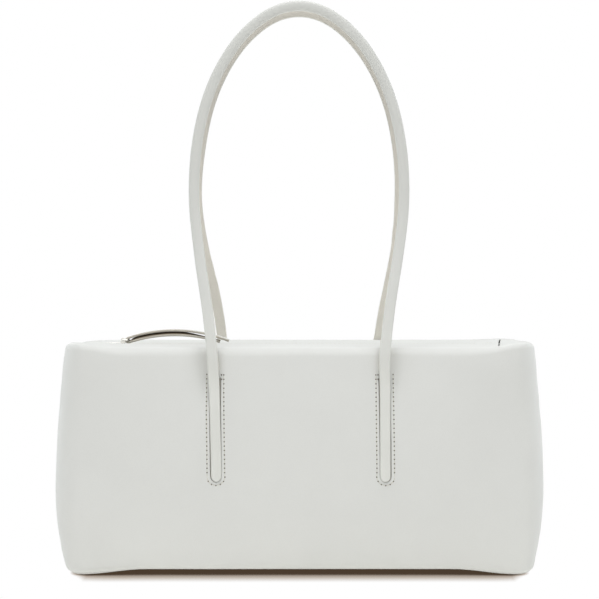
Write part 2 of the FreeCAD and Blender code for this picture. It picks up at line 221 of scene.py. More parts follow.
# fine cells of a smooth hide over slower swells
hideGrain, place, count, gives = makeGroup("hideGrain", "Cells", 1500, ["Height", "Pores"])
cells = putNode(hideGrain, "TexVoronoi", {"Vector": place, "Scale": count}, feature="SMOOTH_F1")
swell = noiseOf(hideGrain, place, combine(hideGrain, count, 0.21, "MULTIPLY"), 3)
hideGrain.links.new(combine(hideGrain, cells.outputs["Distance"], swell), gives["Height"])
hideGrain.links.new(spread(hideGrain, cells.outputs["Distance"], 0.15, 0.7), gives["Pores"])

# slow patches of tone, and quicker specks
softTone, place, count, gives = makeGroup("softTone", "Patches", 16, ["Tone", "Fine"])
patches = noiseOf(softTone, place, count, 4, Roughness=0.55)
specks = noiseOf(softTone, place, combine(softTone, count, 9, "MULTIPLY"), 3)
softTone.links.new(spread(softTone, patches, 0.34, 0.66), gives["Tone"])
softTone.links.new(spread(softTone, specks, 0.3, 0.7), gives["Fine"])

# crossed threads that read the same on every wall of a box
clothWeave, place, count, gives = makeGroup("clothWeave", "Threads", 1400, ["Height", "Shade"])
axes = axesOf(clothWeave, place)
turns = combine(clothWeave, count, 2 * pi, "MULTIPLY")
waves = []
for signs in ((1, 1, 1), (-1, 1, 1), (1, -1, 1)):
    parts = [combine(clothWeave, axis, sign, "MULTIPLY") for axis, sign in zip(axes, signs)]
    along = combine(clothWeave, combine(clothWeave, parts[0], parts[1]), parts[2])
    angle = combine(clothWeave, along, turns, "MULTIPLY")
    waves.append(combine(clothWeave, angle, 0, "SINE"))
threads = combine(clothWeave, combine(clothWeave, waves[0], waves[1]), waves[2])
clothWeave.links.new(spread(clothWeave, threads, -3, 3), gives["Height"])
clothWeave.links.new(spread(clothWeave, threads, -2, 2.5), gives["Shade"])

# fine wear on cast metal, drawn out lengthways
metalWear, place, count, gives = makeGroup("metalWear", "Marks", 900, ["Wear", "Height"])
drawn = putNode(metalWear, "Mapping", {"Vector": place, "Scale": (0.12, 1, 1)})
marks = noiseOf(metalWear, drawn.outputs[0], count, 5)
metalWear.links.new(spread(metalWear, marks, 0.35, 0.65), gives["Wear"])
metalWear.links.new(marks, gives["Height"])


def useGroup(tree, group, **counts):
    return putNode(tree, "Group", {"Vector": placeOf(tree), **counts}, node_tree=group).outputs


def startFinish(name, look, fixed):
    finish = bpy.data.materials.new(name)
    finish.use_nodes = True
    tree = finish.node_tree
    for label, value in fixed.items():
        tree.nodes["Principled BSDF"].inputs[label].default_value = value
    tone = useGroup(tree, softTone, Patches=look["patches"])
    base = mixTints(tree, tone["Tone"], tint(*look["light"]), tint(*look["shade"]))
    return finish, tree, tone, base


def endFinish(finish, look, base, rough, height):
    tree = finish.node_tree
    bump = putNode(tree, "Bump",
                   {"Strength": look["relief"], "Distance": look["depth"] * mm, "Height": height})
    fed = {"Base Color": base, "Roughness": spread(tree, rough, 0.0, 1.0, *look["rough"]),
           "Normal": bump.outputs[0]}
    for label, value in fed.items():
        tree.links.new(value, tree.nodes["Principled BSDF"].inputs[label])
    return finish


def leatherFinish(name, **look):
    finish, tree, tone, base = startFinish(name, look, {"Specular IOR Level": look["gloss"]})
    grain = useGroup(tree, hideGrain, Cells=look["cells"])
    if "handled" in look:
        # painted shade: the leather is made darker higher up, standing in for the shade on the handles away
        # from the floor's light
        low, high, shadedTint = look["handled"]
        level = axesOf(tree, placeOf(tree))[2]
        base = mixTints(tree, spread(tree, level, low, high), base, tint(*shadedTint))
    pores = combine(tree, grain["Pores"], look["poreShare"], "MULTIPLY")
    base = mixTints(tree, pores, base, tint(*look["pore"]))
    return endFinish(finish, look, base, tone["Fine"], grain["Height"])


def clothFinish(name, **look):
    fixed = {"Specular IOR Level": 0.2, "Sheen Weight": look["sheen"], "Sheen Roughness": 0.5}
    finish, tree, tone, base = startFinish(name, look, fixed)
    weave = useGroup(tree, clothWeave, Threads=look["threads"])
    gaps = spread(tree, weave["Shade"], 0.0, 1.0, look["gapShare"], 0.0)
    base = mixTints(tree, gaps, base, tint(*look["gap"]))
    return endFinish(finish, look, base, tone["Fine"], weave["Height"])


def metalFinish(name, **look):
    finish, tree, tone, base = startFinish(name, look, {"Metallic": 1})
    wear = useGroup(tree, metalWear, Marks=look["marks"])
    return endFinish(finish, look, base, wear["Wear"], wear["Height"])


smoothHide = dict(
    light=(225, 226, 223), shade=(222, 223, 220), pore=(206, 205, 200), poreShare=0.1,
    cells=1500, patches=14, gloss=0.18, rough=(0.48, 0.56), relief=0.16, depth=0.12)
whiteLeather = leatherFinish("whiteLeather", **smoothHide)
facingLeather = leatherFinish("facingLeather", **dict(smoothHide, gloss=0.015, rough=(0.66, 0.74)))
# painted shade: the strap turns darker above the rim, for the shade on the handles' free parts
strapLeather = leatherFinish(
    "strapLeather", light=(226, 227, 222), shade=(222, 223, 218), pore=(200, 199, 192), poreShare=0.06,
    handled=(0.13, 0.19, (211, 212, 208)),
    cells=900, patches=26, gloss=0.26, rough=(0.48, 0.56), relief=0.06, depth=0.1)
# painted light and shade: the backing is whitened low on the legs and darkened towards the crown, for the
# light there and the shade under the crown
backingSuede = leatherFinish(
    "backingSuede", light=(248, 244, 234), shade=(241, 237, 227), pore=(214, 207, 195), poreShare=0.2,
    handled=(0.15, 0.32, (206, 203, 195)),
    cells=2000, patches=60, gloss=0.15, rough=(0.8, 0.9), relief=0.15, depth=0.1)
cutEdge = leatherFinish(
    "cutEdge", light=(208, 203, 192), shade=(197, 191, 179), pore=(176, 168, 154), poreShare=0.25,
    cells=2600, patches=90, gloss=0.22, rough=(0.62, 0.72), relief=0.25, depth=0.15)
# a tan flesh side, kept dark so that it also paints the shade in the gap between the zip pull's leaves
fleshAndGapShade = leatherFinish(
    "fleshAndGapShade", light=(150, 137, 118), shade=(136, 123, 105), pore=(112, 99, 82), poreShare=0.3,
    cells=2200, patches=80, gloss=0.1, rough=(0.82, 0.92), relief=0.2, depth=0.15)
patchFibre = leatherFinish(
    "patchFibre", light=(214, 210, 201), shade=(203, 198, 188), pore=(180, 174, 162), poreShare=0.35,
    cells=2200, patches=70, gloss=0.12, rough=(0.82, 0.92), relief=0.35, depth=0.2)
boardFibre = leatherFinish(
    "boardFibre", light=(176, 160, 134), shade=(160, 143, 117), pore=(132, 114, 90), poreShare=0.35,
    cells=1300, patches=50, gloss=0.15, rough=(0.78, 0.88), relief=0.3, depth=0.2)
liningCloth = clothFinish(
    "liningCloth", light=(211, 206, 196), shade=(203, 198, 187), gap=(170, 163, 150), gapShare=0.45,
    threads=900, patches=20, sheen=0.15, rough=(0.72, 0.84), relief=0.35, depth=0.25)
tapeCloth = clothFinish(
    "tapeCloth", light=(226, 226, 220), shade=(218, 218, 211), gap=(183, 181, 172), gapShare=0.5,
    threads=1100, patches=60, sheen=0.1, rough=(0.66, 0.8), relief=0.4, depth=0.2)
sewingThread = clothFinish(
    "sewingThread", light=(228, 227, 219), shade=(219, 217, 207), gap=(186, 182, 170), gapShare=0.4,
    threads=1700, patches=300, sheen=0.2, rough=(0.5, 0.62), relief=0.4, depth=0.1)
# painted shade: dark beads stand in for the shade inside the needle holes
pitShade = leatherFinish(
    "pitShade", light=(124, 118, 108), shade=(104, 98, 89), pore=(80, 74, 66), poreShare=0.3,
    cells=3000, patches=400, gloss=0.1, rough=(0.85, 0.95), relief=0.2, depth=0.1)
nickelPlate = metalFinish(
    "nickelPlate", light=(217, 216, 211), shade=(201, 199, 193), marks=1500, patches=120,
    rough=(0.2, 0.34), relief=0.12, depth=0.05)
print("finishes ready")


def ramp(low, high, value):
    share = min(1.0, max(0.0, (value - low) / (high - low)))
    return share * share * (3 - 2 * share)


# the body: one wall section carried round a rounded rectangle
body = dict(inMm(
    runX=145, runY=36, corner=20, height=154, bulge=58, topInset=6.5, footInset=9.5, rim=4.5, foot=8,
    leather=2, softRim=7, softTo=114, crispFrom=141, softAcross=(24, 44)), arcSteps=8)
runX, runY, corner = body["runX"], body["runY"], body["corner"]
bagHeight, bulge, leather = body["height"], body["bulge"], body["leather"]
rim, softRim, foot = body["rim"], body["softRim"], body["foot"]
upperRadius = ((bagHeight - bulge) ** 2 + body["topInset"] ** 2) / (2 * body["topInset"])
lowerRadius = (bulge ** 2 + body["footInset"] ** 2) / (2 * body["footInset"])


def wallOut(level, inset=0.0):
    # how far the wall stands out from the corner axis
    radius = upperRadius if level >= bulge else lowerRadius
    return corner - radius + sqrt((radius - inset) ** 2 - (level - bulge) ** 2)


rimOut = wallOut(bagHeight - rim, rim)
softOut = wallOut(bagHeight - softRim, softRim)
footOut = wallOut(foot, foot)


def arcLine(centre, radius, start, end, steps):
    turns = [start + (end - start) * k / steps for k in range(steps + 1)]
    return [(centre[0] + radius * cos(t), centre[1] + radius * sin(t)) for t in turns]


def sectionLine(rows, inset=0.0, withRim=True):
    # distance out from the corner axis and level, from the foot up
    steps = body["arcSteps"]
    footTurn = atan2(foot - bulge, footOut - corner + lowerRadius)
    line = arcLine((footOut, foot), foot - inset, -pi / 2, footTurn, steps)
    line += [(wallOut(level, inset), level) for level in rows]
    if withRim:
        rimTurn = atan2(bagHeight - rim - bulge, rimOut - corner + upperRadius)
        line += arcLine((rimOut, bagHeight - rim), rim - inset, rimTurn, pi / 2, steps)
    return line


# how the filled bag settles: base arched, leather slack beside the handle legs, ends drawn in towards the
# mouth, whose corners stand up a little, and long rims rounder in the middle
slack = dict(inMm(
    lift=3.6, liftAcross=(147, 104), liftFade=50, outFull=6, wallFrom=(22, 42), dent={-1: 4.6, 1: 3.4},
    dentReach=(9, 6), dentOut=4.5, dentLevels=(104, 138), easeLevels=(146, 154), swell=0.45, swellSize=62,
    seam=0.5, seamReach=1.3, seamPast=3, girthReach=12, driftReach=(24, 10), earOut=0.2,
    earUp={-1: (2.4, -0.7), 1: (3, 0.8)}, earReach=(-22, 8), earLevels=(125, 154), earAcross=(34, -40),
    pinch=3.4, pinchFrom=112, pinchLevels=(30, 125), lean=1.2, flare={-1: 1, 1: 1.8},
    leanAcross=(85, 140), leanLevels=(105, 150)), dentEase=0.35, swellFrom=(3.1, 0, 7.7))
legX = 56.2 * mm

# rows of level, left and right in mm: how far the ends stand out, and how far the slots sit to the right
endGirth = [(5, 1.4, 2.6), (13, 1.25, 1.8), (25, 0.6, 1.35), (45, 0.3, 1.0), (62, 0.4, 1.15), (100, 0.4, 1.1),
            (118, -0.1, 0.5), (134, -0.7, -0.5), (152, -1.4, -1.15)]
slotDrift = [(36, 0.0, 0.0), (58, 0.9, 1.5), (134, 0.15, 0.95), (152, 0.0, 0.0)]


def byLevel(rows, level, end):
    column = 1 if end < 0 else 2
    value = rows[0][column]
    for here, there in zip(rows, rows[1:]):
        value += (there[column] - here[column]) * ramp(here[0] * mm, there[0] * mm, level)
    return value * mm


def pastRuns(x, y):
    # how far a point lies outside the straight runs
    return Vector((x - max(-runX, min(runX, x)), y - max(-runY, min(runY, y)), 0))


def softenRim(place):
    x, y, z = place
    share = ramp(body["crispFrom"], body["softTo"], abs(x))
    past = abs(y) - runY - rimOut
    if past > -0.01 * mm and z > bagHeight - rim:
        turn = atan2(z - bagHeight + rim, max(past, 0.0))
        wide = runY + softOut + softRim * cos(turn)
        high = bagHeight - softRim + softRim * sin(turn)
        return Vector((x, copysign(abs(y) + (wide - abs(y)) * share, y), z + (high - z) * share))
    if past <= 0 and z > bagHeight - 1.5 * leather:
        pull = (rimOut - softOut) * share * ramp(*body["softAcross"], abs(y))
        return Vector((x, y - copysign(pull, y), z))
    return Vector(place)


def slackShift(place):
    x, y, z = place
    end = 1 if x > 0 else -1
    past = abs(x) - runX
    side = pastRuns(x, y)
    out = side / max(side.length, slack["outFull"])
    onWall = ramp(*slack["wallFrom"], abs(y))

    fade = max(0.0, 1 - z / slack["liftFade"]) ** 2
    lift = slack["lift"] * fade * ramp(*slack["liftAcross"], abs(x))
    beside = abs(x) - legX - slack["dentOut"]
    dent = slack["dent"][end] * exp(-(beside / slack["dentReach"][0 if beside > 0 else 1]) ** 2)
    dent *= ramp(*slack["dentLevels"], z) * (1 - slack["dentEase"] * ramp(*slack["easeLevels"], z))
    dent *= copysign(onWall, y)
    swell = slack["swell"] * noise.noise(Vector(place) / slack["swellSize"] + Vector(slack["swellFrom"]))
    seam = 0.0
    if past > slack["seamPast"]:
        seam = slack["seam"] * exp(-((abs(y) - runY) / slack["seamReach"]) ** 2)
    girth = byLevel(endGirth, z, end) * ramp(0.0, slack["girthReach"], past)
    drift = byLevel(slotDrift, z, end) * ramp(*slack["driftReach"], abs(abs(x) - legX)) * onWall

    reach = max(0.0, (abs(x) - slack["pinchFrom"]) / (runX - slack["pinchFrom"]))
    pinch = slack["pinch"] * (reach ** 2 if reach < 1 else 2 * reach - 1)
    pinch *= ramp(*slack["pinchLevels"], z) * y / (runY + corner)
    lean = slack["lean"] - (slack["lean"] + slack["flare"][end]) * ramp(*slack["leanAcross"], abs(x))
    lean *= ramp(*slack["leanLevels"], z)
    ear = ramp(*slack["earReach"], past) * ramp(*slack["earLevels"], z)
    frontUp, backUp = slack["earUp"][end]
    lift += ear * (backUp + (frontUp - backUp) * ramp(*slack["earAcross"], y))
    outward = swell - seam + girth - lean + ear * slack["earOut"]
    return out * outward + Vector((drift, -pinch - dent, lift))


def startSkin(places):
    # an open line that a skin is grown from
    bm = bmesh.new()
    line = [bm.verts.new(place) for place in places]
    return bm, [bm.edges.new(pair) for pair in zip(line, line[1:])]


def partsOf(geom):
    kinds = (bmesh.types.BMVert, bmesh.types.BMEdge)
    return [[g for g in geom if isinstance(g, kind)] for kind in kinds]


def growEdges(bm, edges, way, steps=1):
    for k in range(steps):
        verts, edges = partsOf(bmesh.ops.extrude_edge_only(bm, edges=edges)["geom"])
        bmesh.ops.translate(bm, verts=verts, vec=[part / steps for part in way])
    return edges


def turnEdges(bm, edges, centre, degrees, steps):
    verts = list({v for e in edges for v in e.verts})
    turned = bmesh.ops.spin(bm, geom=verts + edges, cent=centre, axis=(0, 0, 1), dvec=(0, 0, 0),
                            angle=radians(degrees), steps=steps, use_merge=False, use_duplicate=False)
    return partsOf(turned["geom_last"])[1]


def flip(bm, scale):
    bmesh.ops.scale(bm, vec=scale, verts=bm.verts[:])
    bmesh.ops.reverse_faces(bm, faces=bm.faces[:])


def faceOut(bm, probe):
    # turns an open skin so that the face nearest to the probe looks towards it
    bmesh.ops.recalc_face_normals(bm, faces=bm.faces[:])
    nearest = min(bm.faces, key=lambda f: (f.calc_center_median() - Vector(probe)).length)
    if nearest.normal.dot(Vector(probe) - nearest.calc_center_median()) < 0:
        bmesh.ops.reverse_faces(bm, faces=bm.faces[:])


def closeEnds(bm):
    bmesh.ops.holes_fill(bm, edges=[e for e in bm.edges if e.is_boundary], sides=0)
    bmesh.ops.recalc_face_normals(bm, faces=bm.faces[:])


def settle(bm):
    for vert in bm.verts:
        vert.co = softenRim(vert.co)
        vert.co += slackShift(vert.co.copy())


def smoothFaces(mesh, crease=40):
    mesh.polygons.foreach_set("use_smooth", [True] * len(mesh.polygons))
    mesh.set_sharp_from_angle(angle=radians(crease))


def makePiece(name, bm, finishes, crease=40, thick=0.0):
    piece = addObject(name, meshFrom(name, bm))
    for finish in finishes:
        piece.data.materials.append(finish)
    smoothFaces(piece.data, crease)
    if thick:
        wall = piece.modifiers.new("wall", "SOLIDIFY")
        wall.thickness = thick
        wall.offset = -1
        wall.use_even_offset = True
        wall.use_quality_normals = True
    return piece


def fix(piece, carrier, slotName, *nodes):
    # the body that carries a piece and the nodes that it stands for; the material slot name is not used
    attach(piece, carrier)
    if nodes:
        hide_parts(*nodes)


# front and back panels, each with two slots for the handle ends
panel = dict(inMm(
    slotHalf=3.8, slotFoot=68.7, slotTop=134, slotFade=12, edgeRound=0.35, edgeReach=0.6, edgeBand=3,
    edgeTop=135.6), cornerTurns=((84, 12), (6, 4)))
slotHalf, slotFoot = panel["slotHalf"], panel["slotFoot"]
besideSlot = [0.5, 1.1, 2.0, 3.2, 5.0, 7.5]
across = [legX + slotHalf * sin(radians(t)) for t in range(-90, 91, 15)]
across += [legX + s * (slotHalf + d * mm) for d in besideSlot for s in (-1, 1)]
across += [x * mm for x in (8, 16, 24, 32, 39, 76, 84, 92, 100, 108, 116, 124, 131, 137, 141.5, 145)]
panelColumns = sorted([0.0] + across + [-x for x in across])
panelRows = [z * mm for z in (7.5, 11.5, 16.5, 22.5, 29, 36, 43, 49, 53.5)]
panelRows += [slotFoot - d * mm for d in (12, 9, 6.5, 4.5, 3, 1.8, 0.9, 0)]
panelRows += [z * mm for z in (71, 74.5, 79, 85, 91, 97, 103, 109, 115, 120, 125, 129.5, 132.5, 134, 135.2,
                               137, 139.5, 141.8, 143.6)]


def slotDistance(x, z):
    # distance outside the nearest slot's outline
    across = abs(x) - legX
    if z > slotFoot:
        return abs(across) - slotHalf
    return hypot(across, z - slotFoot) - slotHalf


def panelSkin():
    bm, first = startSkin([(-runX, -runY - out, level) for out, level in sectionLine(panelRows)])
    last = first
    for here, there in zip(panelColumns, panelColumns[1:]):
        last = growEdges(bm, last, (there - here, 0, 0))
    for edges, end in ((last, 1), (first, -1)):
        for degrees, steps in panel["cornerTurns"]:
            edges = turnEdges(bm, edges, (end * runX, -runY, 0), end * degrees, steps)
    slots = [f for f in bm.faces if abs(abs(f.calc_center_median().x) - legX) < slotHalf
             and slotFoot < f.calc_center_median().z < panel["slotTop"]]
    bmesh.ops.delete(bm, geom=slots, context="FACES")
    for vert in bm.verts:
        across, drop = abs(vert.co.x) - legX, slotFoot - vert.co.z
        if abs(across) < slotHalf and -1e-6 < drop < panel["slotFade"] and vert.co.y < -runY:
            # rows under a slot bow down round its half-round foot
            vert.co.z -= sqrt(slotHalf ** 2 - across ** 2) * (1 - drop / panel["slotFade"])
            vert.co.y = -runY - wallOut(vert.co.z)
    faceOut(bm, (0, -0.2, 0.06))
    return bm


for name, side in bothSides:
    bm = panelSkin()
    if side > 0:
        flip(bm, (1, -1, 1))
    for vert in bm.verts:
        place = softenRim(vert.co)
        vert.co = place + slackShift(place)
        away = slotDistance(place.x, place.z)
        onEdge = -0.1 * mm < away < panel["edgeBand"] and place.z < panel["edgeTop"]
        if onEdge and abs(place.x) < runX:
            vert.co.y -= side * panel["edgeRound"] * exp(-(away / panel["edgeReach"]) ** 2)
    fix(makePiece(name + "Panel", bm, [whiteLeather], thick=leather), "bag", "leather", name + "_panel")
print("panels done")


# end panels, their tops turned in flat up to the zip facings
ends = dict(inMm(
    flapEdge=145.16, flapGap=0.1, flapRound=9, flapEdgeRound=0.7, sunk={-1: 0.5, 1: 0.4}, short=4.06,
    skewFrom=100, ledge=(139.5, 150, 45), ledgeTop=2.75, ledgeThick=0.8), skew=0.14)
endRows = [z * mm for z in (7.5, 11.5, 16.5, 22.5, 29, 36, 43, 50, 57, 65, 75, 85, 95, 105, 115, 124, 132,
                            139, 144, 148)]
endColumns = [s * y * mm for y in (7, 14, 21, 27, 31, 33.4, 34.6, 35.4, 36) for s in (-1, 1)]
endColumns = sorted([0.0] + endColumns)


def sliceAlong(bm, axis, places):
    for place in places:
        point, normal = Vector(), Vector()
        point[axis], normal[axis] = place, 1.0
        geom = bm.verts[:] + bm.edges[:] + bm.faces[:]
        bmesh.ops.bisect_plane(bm, geom=geom, dist=1e-6, plane_co=point, plane_no=normal)


def spans(low, high, count):
    return [low + (high - low) * k / count for k in range(1, count)]


def block(low, high):
    bm = bmesh.new()
    bmesh.ops.create_cube(bm, size=1)
    bmesh.ops.scale(bm, vec=Vector(high) - Vector(low), verts=bm.verts[:])
    bmesh.ops.translate(bm, vec=(Vector(high) + Vector(low)) / 2, verts=bm.verts[:])
    return bm


def roundEdges(bm, edges, width, segments=3):
    bmesh.ops.bevel(bm, geom=edges, offset=width, offset_type="OFFSET", segments=segments, profile=0.5,
                    affect="EDGES", clamp_overlap=True, material=-1)


def sharpEdges(bm, degrees=50):
    return [e for e in bm.edges if len(e.link_faces) == 2 and e.calc_face_angle() > radians(degrees)]


def uprightEdges(bm):
    return [e for e in bm.edges if abs((e.verts[0].co - e.verts[1].co).normalized().z) > 0.99]


def skewEnd(bm, low, high):
    # the right ends of the zip facings stop short, along a line that runs a little askew
    for vert in bm.verts:
        share = ramp(low, high, vert.co.x)
        vert.co.x -= (ends["short"] - ends["skew"] * vert.co.y) * share


def addMesh(bm, mesh):
    bm.from_mesh(mesh)
    bpy.data.meshes.remove(mesh)


flapEdge, flapOut = ends["flapEdge"], runX + rimOut
for name, side in (("right", 1), ("left", -1)):
    bm, edges = startSkin([(runX + out, endColumns[0], level) for out, level in sectionLine(endRows)])
    for here, there in zip(endColumns, endColumns[1:]):
        edges = growEdges(bm, edges, (0, there - here, 0))
    faceOut(bm, (0.3, 0, 0.06))
    if side < 0:
        flip(bm, (-1, 1, 1))
    settle(bm)
    wall = makePiece(name + "End", bm, [whiteLeather], thick=leather)
    walled = finalMesh(wall)
    wall.modifiers.clear()
    wall.data = walled

    flapHalf = runY + rimOut - ends["flapGap"]
    bm = block((flapEdge, -flapHalf, bagHeight - leather), (flapOut - ends["flapGap"], flapHalf, bagHeight))
    roundEdges(bm, [e for e in uprightEdges(bm) if e.verts[0].co.x > runX + 5 * mm], ends["flapRound"], 8)
    roundEdges(bm, sharpEdges(bm), ends["flapEdgeRound"])
    # the flap's seam allowance, which the facings' ends lie over
    ledgeIn, ledgeOut, ledgeHalf = ends["ledge"]
    ledgeTop = bagHeight - ends["ledgeTop"]
    ledge = block((ledgeIn, -ledgeHalf, ledgeTop - ends["ledgeThick"]), (ledgeOut, ledgeHalf, ledgeTop))
    addMesh(bm, meshFrom("ledge", ledge))
    sliceAlong(bm, 1, spans(-runY, runY, 10))
    if side < 0:
        flip(bm, (-1, 1, 1))
    for vert in bm.verts:
        vert.co.z -= ends["sunk"][side] * ramp(flapOut - 1 * mm, flapEdge + 1 * mm, abs(vert.co.x))
    if side > 0:
        skewEnd(bm, flapOut - 0.5 * mm, flapEdge + 0.5 * mm)
    settle(bm)
    for face in bm.faces:
        face.material_index = 1
    bm.from_mesh(wall.data)
    bm.to_mesh(wall.data)
    bm.free()
    wall.data.materials.append(facingLeather)
    smoothFaces(wall.data)
    fix(wall, "bag", "leather", name + "_gusset")
print("ends done")


# underside and its stiffener
base = dict(inMm(round=4.3, edge=0.6, boardLow=2.2, boardHigh=3.4), cells=(44, 8))
baseX, baseY = runX + footOut, runY + footOut
for name, node, low, high, finish, slotName in (
        ("basePanel", "base_panel", 0.0, leather, whiteLeather, "leather"),
        ("baseBoard", "base_board", base["boardLow"], base["boardHigh"], boardFibre, "board")):
    bm = block((-baseX, -baseY, low), (baseX, baseY, high))
    roundEdges(bm, uprightEdges(bm), base["round"], 5)
    roundEdges(bm, sharpEdges(bm), min(base["edge"], (high - low) / 3), 2)
    sliceAlong(bm, 0, spans(-baseX, baseX, base["cells"][0]))
    sliceAlong(bm, 1, spans(-baseY, baseY, base["cells"][1]))
    settle(bm)
    fix(makePiece(name, bm, [finish]), "bag", slotName, node)
print("base done")


# zip facings from the rims to the zip, one a little higher than the other along it
facing = dict(inMm(
    end=144.16, outer=45.26, inner=7, edge=0.75, lip={-1: 0.45, 1: -0.45}, lipReach=16, fold=(0.3, 3.5)),
    cells=(48, 10))
facingEnd, facingOuter, facingInner = facing["end"], facing["outer"], facing["inner"]
for name, side in bothSides:
    bm = block((-facingEnd, -facingOuter, bagHeight - leather), (facingEnd, -facingInner, bagHeight))
    roundEdges(bm, sharpEdges(bm), facing["edge"])
    sliceAlong(bm, 0, spans(-facingEnd, facingEnd, facing["cells"][0]))
    sliceAlong(bm, 1, spans(-facingOuter, -facingInner, facing["cells"][1]))
    if side > 0:
        flip(bm, (1, -1, 1))
    skewEnd(bm, ends["skewFrom"], facingEnd - 0.8 * mm)
    for vert in bm.verts:
        inward = ramp(facingInner + facing["lipReach"], facingInner, abs(vert.co.y))
        vert.co.z += facing["lip"][side] * inward
    settle(bm)
    piece = makePiece(name + "Facing", bm, [facingLeather])
    before, after = facing["fold"]
    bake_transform(piece)
    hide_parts(name + "_top_facing")
print("facings done")


# handles: a leather strap with a suede backing, its ends inlaid in the panel slots
handle = dict(inMm(
    tongueFoot=65.2, tongueHalf=3.5, tongueProud=0.9, tongueThick=2.8, leave=(121, 1.3),
    archLevels=(116, 136), half=3.6, face=2.3, dome=1.6, domeLevels=(140, 300), backing=1.8,
    backingFoot=137.2, glue=0.05, gap=0.7, gapAt=26, gapReach=17, gapLevels=(300, 360), standoff=2.075,
    bend=(-54, 135), crown=-11, bendLevels=(127, 146), wallTop=150, freeLevels=(125, 150), sway=0.24,
    swayLevels=(68, 132), swayEnd=(134, 150), tongueRows=(70, 82, 95, 109)),
    footTurns=(6, 18, 32, 48, 66, 84), faceRound=(0.5, 0.42), backingRound=0.7,
    route=[(0.9, 0.007, 17), (4.8, 0.22, 48), (12, 0.57, 85), (16.6, 0.77, 121),
           (14.1, 0.865, 162), (4.1, 0.932, 199.6), (-15.4, 0.977, 232.2), (-41.9, 1, 252.4)])

# rows of level, left and right in mm: how far the free legs of each handle stray to the right
legDrift = {-1: [(108, 0.0, 0.0), (152, -0.75, 0.0), (190, -0.7, 0.0), (240, 0.0, 0.0)],
            1: [(140, 0.0, 0.0), (160, 0.75, 1.5), (176, 0.75, 1.8), (190, 0.6, 2.2), (205, 0.0, 2.1),
                (220, -0.65, 1.9), (234, -1.0, 0.95), (256, -1.2, 0.0), (300, 0.0, 0.0)]}


def tongueFace(level):
    return -runY - wallOut(level) - handle["tongueProud"]


def handleLine():
    # outer face of one front handle from its right tongue over the crown to the left one
    bendY, bendZ = handle["bend"]
    level, off = handle["leave"]
    standoff = handle["standoff"]
    lean = handle["crown"] - bendY
    right = [(legX, tongueFace(z), z) for z in handle["tongueRows"]]
    right += [(legX, tongueFace(level) - off, level), (legX, bendY - standoff, bendZ)]
    for spreadOut, share, rise in handle["route"]:
        right.append((legX + spreadOut * mm, bendY + share * lean - standoff, bendZ + rise * mm))
    points = right + [(-x, y, z) for x, y, z in reversed(right)]
    curveData = bpy.data.curves.new("handleLine", "CURVE")
    curveData.dimensions = "3D"
    curveData.resolution_u = 8
    spline = curveData.splines.new("NURBS")
    spline.points.add(len(points) - 1)
    for point, place in zip(spline.points, points):
        point.co = (*place, 1)
    spline.order_u = 3
    spline.use_endpoint_u = True
    holder = addObject("handleLine", curveData)
    bpy.context.view_layer.update()
    line = [v.co.copy() for v in finalMesh(holder).vertices]
    bpy.data.objects.remove(holder)
    return line


def strapAlong(stations):
    # a section carried along stations of (place, ahead, half width, front offset, thickness, roundness)
    bm = bmesh.new()
    around = bm.verts.layers.float_vector.new("around")
    verts = bmesh.ops.create_circle(bm, cap_ends=False, segments=32, radius=1)["verts"]
    for vert in verts:
        vert[around] = vert.co
    edges = bm.edges[:]
    for k, (place, ahead, half, offset, thick, roundness) in enumerate(stations):
        if k:
            verts, edges = partsOf(bmesh.ops.extrude_edge_only(bm, edges=edges)["geom"])
        sideways = Vector((ahead.z, 0, -ahead.x)).normalized()
        middle = place + Vector((0, offset + thick / 2, 0))
        for vert in verts:
            wide, deep = [copysign(abs(c) ** roundness, c) for c in vert[around][:2]]
            vert.co = middle + sideways * half * wide + Vector((0, thick / 2 * deep, 0))
    bm.verts.layers.float_vector.remove(around)
    closeEnds(bm)
    return bm


def handlePlaces(line, layer):
    # the way along one layer as (place, ahead, half width, or 0 for the usual one)
    places = [(place.copy(), (after - before).normalized(), 0)
              for before, place, after in zip(line[:-2], line[1:-1], line[2:])
              if layer == "face" or place.z > handle["backingFoot"]]
    if layer == "face":
        # half-round foot of the tongue, on both legs
        tip, half = handle["tongueFoot"], handle["tongueHalf"]
        turns = [radians(t) for t in handle["footTurns"]]
        rows = [(tip + half * (1 - cos(t)), half * sin(t)) for t in turns]
        right, left = [[(Vector((end * legX, tongueFace(level), level)), end * zWay, width)
                        for level, width in rows] for end in (1, -1)]
        places = right + places + left[::-1]
    return places


def handleStations(line, layer, side):
    stations = []
    usual, thick = handle["tongueHalf"], handle["tongueThick"]
    for place, ahead, width in handlePlaces(line, layer):
        level = place.z
        end = 1 if place.x > 0 else -1
        arch = ramp(*handle["archLevels"], level)
        half = width or usual + (handle["half"] - usual) * arch
        if layer == "face":
            domed = ramp(*handle["domeLevels"], level)
            dome = handle["dome"] * domed
            flat, rounder = handle["faceRound"]
            section = (-dome, thick + (handle["face"] - thick) * arch + dome, flat + rounder * domed)
        else:
            # the layers part a little just right of the crown
            past = (place.x - handle["gapAt"]) / handle["gapReach"]
            loose = exp(-past ** 2) * ramp(*handle["gapLevels"], level)
            section = (handle["face"] + handle["glue"] + handle["gap"] * loose,
                       handle["backing"], handle["backingRound"])
        sway = handle["sway"] * (ramp(*handle["swayLevels"], level) * 2 - 1)
        sway *= 1 - ramp(*handle["swayEnd"], level)
        place.x += end * sway + byLevel(legDrift[side], level, end)
        low = min(level, handle["wallTop"])
        shift = slackShift(Vector((place.x, -runY - wallOut(low), low)))
        held = 1 - ramp(*handle["freeLevels"], level)
        stations.append((place + shift * held, ahead, half, *section))
    return stations


